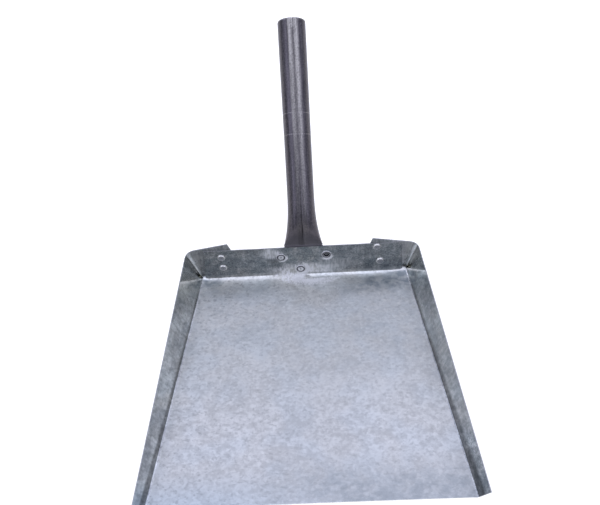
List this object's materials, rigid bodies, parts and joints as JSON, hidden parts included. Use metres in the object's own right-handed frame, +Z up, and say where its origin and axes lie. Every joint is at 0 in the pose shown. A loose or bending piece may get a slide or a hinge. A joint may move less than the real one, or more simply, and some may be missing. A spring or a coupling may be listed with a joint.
{
  "type": "dustpan",
  "caption": "Short-handled sheet-metal dustpan: a folded galvanised pan, wider at its mouth, with a rolled steel tube handle riveted behind its back wall.",
  "frame": {"origin": "middle of the floor's underside, on the surface that the pan lies on", "axes": "+Y from the mouth to the handle, +Z up, +X to the right seen from the mouth"},
  "size_m": [0.272, 0.3889, 0.1874],
  "materials": {
    "galvanised_sheet": "hot-dip galvanised, fine spangle, satin",
    "handle_steel": "dark rolled steel with lengthwise draw marks",
    "rivet_aluminium": "bright, slightly scuffed",
    "mandrel_steel": "dull broken end"
  },
  "bodies": {
    "root": {"pan": "galvanised_sheet", "handle": "handle_steel", "handle_rivet_left": "rivet_aluminium", "handle_rivet_right": "rivet_aluminium", "handle_rivet_lower": "rivet_aluminium", "handle_mandrel_left": "mandrel_steel", "handle_mandrel_right": "mandrel_steel", "handle_mandrel_lower": "mandrel_steel", "corner_rivet_left_upper": "rivet_aluminium", "corner_rivet_left_lower": "rivet_aluminium", "corner_rivet_right_upper": "rivet_aluminium", "corner_rivet_right_lower": "rivet_aluminium", "corner_mandrel_left_upper": "mandrel_steel", "corner_mandrel_left_lower": "mandrel_steel", "corner_mandrel_right_upper": "mandrel_steel", "corner_mandrel_right_lower": "mandrel_steel"}
  },
  "joints": []
}
